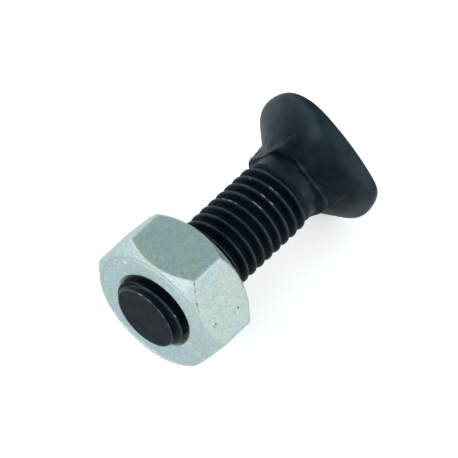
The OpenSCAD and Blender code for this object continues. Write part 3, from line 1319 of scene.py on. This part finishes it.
@dataclass
class Studio:
    """A pale floor, a soft light tent and the photograph's view.

    Attributes:
        lie: where the fastener lies.
        eye: the camera's place from the middle of the head's face, in millimetres along the axis, across it
            downwards and to the side, as are the next two directions.
        gaze: the direction it looks in.
        top: the direction of the picture's upper edge.
        focal_px: focal length in pixels of a picture that is frame_px wide.
        frame_px: width and height of the photograph's frame.
        sensor_mm: width of the camera's sensor.
        clip: nearest and farthest distance that the camera sees, in metres.
        floor_reach: distance from the middle of the floor to its sides, in metres.
        floor_lift, mirror_lift: what the floor glows in the camera's own view, and in what mirrors it.
        tent_low, tent_high: height in the tent, as the sine of the angle over the floor, and colour there.
        flags: the tent's darker and brighter parts.
        lamps: the lamps.
    """

    lie: Lie
    eye: tuple = (265.1, -434.9, 206.4)
    gaze: tuple = (-0.4593, 0.8017, -0.3825)
    top: tuple = (-0.6036, -0.5976, -0.5278)
    focal_px: float = 4500.0
    frame_px: float = 458.0
    sensor_mm: float = 36.0
    clip: tuple = (0.01, 20.0)
    floor_reach: float = 3.0
    floor_colour: tuple = (0.90, 0.90, 0.90)
    floor_roughness: float = 0.9
    floor_gloss: float = 0.1
    floor_lift: float = 0.46
    mirror_lift: float = 0.10
    tent_low: tuple = (0.0, (0.95, 0.98, 1.0, 1))
    tent_high: tuple = (0.9, (0.55, 0.60, 0.62, 1))
    flags: tuple = (Flag((-0.44, -0.38, 0.81), 12.0, 50.0, (0.42, 0.62, 0.61)),
                    Flag((0.84, 0.0, 0.48), 10.0, 45.0, (2.3, 2.3, 2.25)),
                    Flag((-0.45, 0.67, 0.60), 8.0, 30.0, (1.5, 1.5, 1.5)),
                    Flag((-0.46, 0.89, 0.0), 12.0, 40.0, (1.35, 1.32, 1.3)),
                    Flag((0.78, 0.62, 0.0), 8.0, 32.0, (0.65, 0.65, 0.65)))
    lamps: tuple = (Lamp("soft_right", (0.1, 0.6, 0.25), 0.5, 0.7),
                    Lamp("soft_left", (0.1, -0.6, 0.35), 0.5, 1.0))

    def camera(self) -> None:
        """Sets up the camera.

        Formula: right = gaze x top, and top = right x gaze makes all three square to each other.
        """
        data = bpy.data.cameras.new("camera")
        data.sensor_width = self.sensor_mm
        data.lens = self.focal_px * data.sensor_width / self.frame_px
        data.clip_start, data.clip_end = self.clip
        camera = bpy.data.objects.new("camera", data)
        axes = np.stack([self.lie.along, self.lie.down, self.lie.side])
        gaze = Vector(np.array(self.gaze) @ axes).normalized()
        right = gaze.cross(Vector(np.array(self.top) @ axes)).normalized()
        turn = Matrix((right, right.cross(gaze), -gaze)).transposed()
        place = Vector(self.lie.origin + MM * (np.array(self.eye) @ axes))
        camera.matrix_world = Matrix.Translation(place) @ turn.to_4x4()
        bpy.context.scene.collection.objects.link(camera)
        bpy.context.scene.camera = camera

    def floor(self) -> None:
        """Lays a wide pale floor, which glows a little to the camera and in mirrors and so fades to white."""
        reach = self.floor_reach
        corners = [(-reach, -reach, 0), (reach, -reach, 0), (reach, reach, 0), (-reach, reach, 0)]
        mesh = bpy.data.meshes.new("floor")
        mesh.from_pydata(corners, [], [(0, 1, 2, 3)])
        floor = bpy.data.objects.new("floor", mesh)
        bpy.context.scene.collection.objects.link(floor)
        material = bpy.data.materials.new("white_floor")
        material.use_nodes = True
        tree = material.node_tree
        shader = tree.nodes["Principled BSDF"]
        shader.inputs["Base Color"].default_value = (*self.floor_colour, 1)
        shader.inputs["Roughness"].default_value = self.floor_roughness
        shader.inputs["Specular IOR Level"].default_value = self.floor_gloss
        shader.inputs["Emission Color"].default_value = (1, 1, 1, 1)
        path = tree.nodes.new("ShaderNodeLightPath")
        mirrored = tree.nodes.new("ShaderNodeMath")
        mirrored.operation = "MULTIPLY"
        mirrored.inputs[1].default_value = self.mirror_lift
        lift = tree.nodes.new("ShaderNodeMath")
        lift.operation = "MULTIPLY_ADD"
        lift.inputs[1].default_value = self.floor_lift
        tree.links.new(path.outputs["Is Glossy Ray"], mirrored.inputs[0])
        tree.links.new(path.outputs["Is Camera Ray"], lift.inputs[0])
        tree.links.new(mirrored.outputs["Value"], lift.inputs[2])
        tree.links.new(lift.outputs["Value"], shader.inputs["Emission Strength"])
        mesh.materials.append(material)

    def world(self) -> None:
        """Surrounds the scene with a tent: bright at the level of the floor, dimmer overhead, with flags.

        Formula: each flag multiplies the tent's colour by its tint, by a share that rises with the cosine of
        the angle to its middle, from its outer to its inner angle. The camera itself sees plain white.
        """
        world = bpy.data.worlds.new("tent")
        world.use_nodes = True
        tree = world.node_tree
        coordinates = tree.nodes.new("ShaderNodeTexCoord")
        parts = tree.nodes.new("ShaderNodeSeparateXYZ")
        ramp = tree.nodes.new("ShaderNodeValToRGB")
        elements = ramp.color_ramp.elements
        elements[0].position, elements[0].color = self.tent_low
        elements[1].position, elements[1].color = self.tent_high
        tree.links.new(coordinates.outputs["Generated"], parts.inputs["Vector"])
        tree.links.new(parts.outputs["Z"], ramp.inputs["Fac"])
        colour = ramp.outputs["Color"]
        for flag in self.flags:
            colour = self.flagged(tree, coordinates.outputs["Generated"], colour, flag)
        path = tree.nodes.new("ShaderNodeLightPath")
        seen = tree.nodes.new("ShaderNodeMix")
        seen.data_type = "RGBA"
        seen.inputs["B"].default_value = (1, 1, 1, 1)
        tree.links.new(path.outputs["Is Camera Ray"], seen.inputs["Factor"])
        tree.links.new(colour, seen.inputs["A"])
        tree.links.new(seen.outputs["Result"], tree.nodes["Background"].inputs["Color"])
        bpy.context.scene.world = world

    @staticmethod
    def flagged(tree: bpy.types.NodeTree, direction: Socket, colour: Socket, flag: Flag) -> Socket:
        """Adds the nodes that tint one part of the tent.

        Args:
            tree: the world's node tree.
            direction: the direction looked in.
            colour: the tent's colour so far.
            flag: where the tent is tinted, and how.

        Returns:
            The tinted colour.
        """
        dot = tree.nodes.new("ShaderNodeVectorMath")
        dot.operation = "DOT_PRODUCT"
        dot.inputs[1].default_value = Vector(flag.toward).normalized()
        share = tree.nodes.new("ShaderNodeMapRange")
        share.interpolation_type = "SMOOTHSTEP"
        share.inputs["From Min"].default_value = math.cos(math.radians(flag.outer))
        share.inputs["From Max"].default_value = math.cos(math.radians(flag.inner))
        blend = tree.nodes.new("ShaderNodeMix")
        blend.data_type = "RGBA"
        blend.blend_type = "MULTIPLY"
        blend.inputs["B"].default_value = (*flag.tint, 1)
        tree.links.new(direction, dot.inputs[0])
        tree.links.new(dot.outputs["Value"], share.inputs["Value"])
        tree.links.new(share.outputs["Result"], blend.inputs["Factor"])
        tree.links.new(colour, blend.inputs["A"])
        return blend.outputs["Result"]

    def build(self) -> None:
        """Builds the whole studio."""
        self.camera()
        self.floor()
        self.world()
        for lamp in self.lamps:
            lamp.hang()
        bpy.context.scene.view_settings.view_transform = "Standard"


def main() -> None:
    """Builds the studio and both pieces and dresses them."""
    logging.basicConfig(level=logging.INFO, format="%(message)s")
    lie = Lie.from_record(frame["record"])
    pitch, phase, play = 1.5, 1.02, 0.05
    crest_r, foot_r, tapped_r = 4.94, 4.06, 4.19
    land = pitch / 16
    rolled = Helix(pitch, phase, high=crest_r, low=foot_r, land=land)
    tapped = Helix(pitch, phase, high=crest_r + play, low=tapped_r + play, land=land + play)
    Studio(lie).build()
    for part in (BoltBody(lie, BlackOxide(), rolled), HexNut(lie, ZincPlate(), tapped)):
        part.dress(part.build())


if __name__ == "__main__":
    main()
